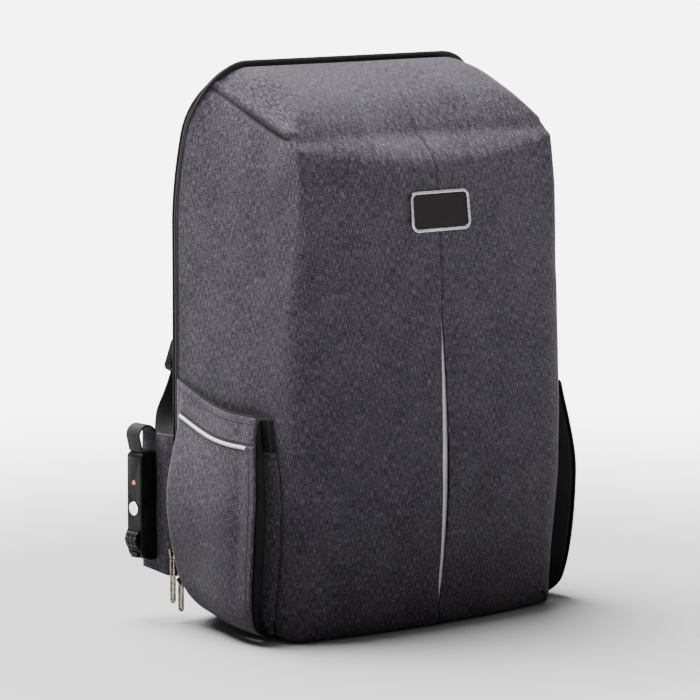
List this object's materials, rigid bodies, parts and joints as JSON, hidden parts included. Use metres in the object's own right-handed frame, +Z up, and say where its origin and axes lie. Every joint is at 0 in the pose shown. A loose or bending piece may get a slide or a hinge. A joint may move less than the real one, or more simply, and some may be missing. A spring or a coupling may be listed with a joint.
{
  "type": "anti theft backpack",
  "caption": "Structured backpack with a plain front, closed by a zip at the wearer's back, with side pockets, shoulder straps and a combination lock at its lower corner.",
  "frame": {"origin": "middle of the flat base, on the floor", "axes": "+Z up, +Y towards the wearer's back, the plain front faces -Y, +X to the right of someone facing the front"},
  "size_m": [0.3498, 0.2112, 0.4473],
  "materials": {
    "heather": "melange polyester, matt",
    "black_cloth": "plain weave, matt",
    "mesh": "spacer mesh over foam",
    "webbing": "ribbed polyester webbing",
    "reflective": "silver reflective tape",
    "chrome": "bright",
    "zip_metal": "nickel plated",
    "gloss_black": "smooth",
    "black_plastic": "satin",
    "dial_plastic": "satin",
    "orange": "smooth"
  },
  "bodies": {
    "bag": {"shell": "heather", "wing_left": "heather", "wing_right": "heather", "pocket_panel_left": "heather", "pocket_panel_right": "heather", "pocket_band_left": "heather", "pocket_band_right": "heather", "gusset_front_left": "heather", "gusset_front_right": "heather", "zip_band": "black_cloth", "gusset_fold_left": "black_cloth", "gusset_fold_right": "black_cloth", "back_panel": "mesh", "shoulder_strap_left": "mesh", "shoulder_strap_right": "mesh", "strap_webbing_left": "webbing", "strap_webbing_right": "webbing", "haul_handle": "webbing", "pocket_elastic_front_left": "webbing", "pocket_elastic_front_right": "webbing", "pocket_elastic_fold_left": "webbing", "pocket_elastic_fold_right": "webbing", "lock_loop": "webbing", "front_reflective_strip": "reflective", "pocket_reflective_strip_left": "reflective", "pocket_reflective_strip_right": "reflective", "plaque_frame": "chrome", "lock_cylinder": "chrome", "zip_slider_1": "zip_metal", "zip_slider_2": "zip_metal", "zip_pull_1": "zip_metal", "zip_pull_2": "zip_metal", "plaque_insert": "gloss_black", "lock_body": "black_plastic", "ladder_buckle_left": "black_plastic", "ladder_buckle_right": "black_plastic", "lock_dot": "orange"},
    "dial_1": {"lock_dial_1": "dial_plastic"},
    "dial_2": {"lock_dial_2": "dial_plastic"},
    "dial_3": {"lock_dial_3": "dial_plastic"},
    "release": {"lock_release": "dial_plastic"}
  },
  "joints": [
    {"name": "dial_1_turn", "type": "hinge", "parent": "bag", "child": "dial_1", "pos_m": [-0.1648, 0.1027, 0.065], "axis": [0, 1, 0], "continuous": true},
    {"name": "dial_2_turn", "type": "hinge", "parent": "bag", "child": "dial_2", "pos_m": [-0.1648, 0.1076, 0.065], "axis": [0, 1, 0], "continuous": true},
    {"name": "dial_3_turn", "type": "hinge", "parent": "bag", "child": "dial_3", "pos_m": [-0.1648, 0.1125, 0.065], "axis": [0, 1, 0], "continuous": true},
    {"name": "release_slide", "type": "slide", "parent": "bag", "child": "release", "axis": [0, 0, -1], "range_m": [0, 0.0024], "stiffness_N_per_m": 60, "springref_m": -0.001}
  ]
}
